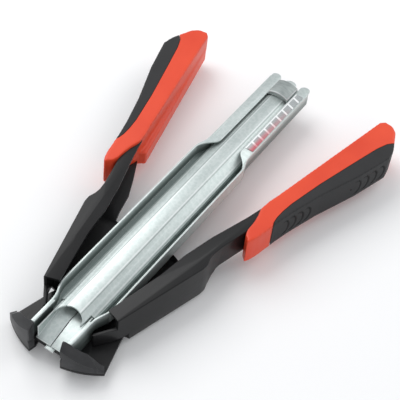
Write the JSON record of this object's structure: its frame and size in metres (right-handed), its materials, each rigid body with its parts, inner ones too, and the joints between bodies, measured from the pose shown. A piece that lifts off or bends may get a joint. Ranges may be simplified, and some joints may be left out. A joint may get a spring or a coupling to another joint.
{
  "type": "carton closing stapler",
  "caption": "Plier-type carton stapler: two gripped arms cross on a pivot under an open staple magazine and close hooked claws at its mouth.",
  "frame": {"origin": "on the pivot axis, at the flat face of the bolt head that the tool rests on", "axes": "+Y along the magazine towards the handle ends, +X to the tool's right with the magazine's open side up, +Z out of the magazine"},
  "size_m": [0.2054, 0.3116, 0.0329],
  "materials": {
    "zinc_sheet": "bright zinc plated sheet, faint blue-green",
    "fastener_steel": "plain steel",
    "grip_rubber": "dark grey soft insert",
    "grip_plastic": "satin red-orange moulding",
    "label": "printed plate with plain blocks",
    "pusher_steel": "dull grey",
    "claw_steel": "dark satin, worn at the bevel",
    "black_steel": "satin black"
  },
  "bodies": {
    "magazine": {"magazine_channel": "zinc_sheet", "magazine_rail": "zinc_sheet", "mouth_liner_right": "zinc_sheet", "mouth_liner_left": "zinc_sheet", "nose_block": "black_steel", "nose_tongue": "zinc_sheet", "pivot_bracket": "black_steel", "bracket_rivet_1": "fastener_steel", "bracket_rivet_2": "fastener_steel", "bracket_rivet_3": "fastener_steel", "bracket_rivet_4": "fastener_steel", "pivot_bolt": "fastener_steel", "pivot_washer": "fastener_steel", "pivot_nut": "fastener_steel", "label_plate": "label"},
    "right_handle": {"right_arm": "black_steel", "left_claw": "claw_steel", "left_claw_rivet_1": "fastener_steel", "left_claw_rivet_2": "fastener_steel", "right_grip": "grip_plastic", "right_grip_insert": "grip_rubber"},
    "left_handle": {"left_arm": "black_steel", "right_claw": "claw_steel", "right_claw_rivet_1": "fastener_steel", "right_claw_rivet_2": "fastener_steel", "left_grip": "grip_plastic", "left_grip_insert": "grip_rubber"},
    "pusher_slide": {"pusher": "pusher_steel"}
  },
  "joints": [
    {"name": "right_handle_hinge", "type": "hinge", "parent": "magazine", "child": "right_handle", "pos_m": [0, 0, 0.0062], "axis": [0, 0, 1], "range_deg": [0, 11.5], "stiffness_Nm_per_rad": 2, "springref_deg": -8.59},
    {"name": "left_handle_hinge", "type": "hinge", "parent": "magazine", "child": "left_handle", "pos_m": [0, 0, 0.0062], "axis": [0, 0, 1], "range_deg": [-11.5, 0]},
    {"name": "pusher_travel", "type": "slide", "parent": "magazine", "child": "pusher_slide", "axis": [0, -1, 0], "range_m": [0, 0.238]}
  ],
  "couplings": [
    {"joint": "left_handle_hinge", "follows": "right_handle_hinge", "ratio": -1}
  ]
}
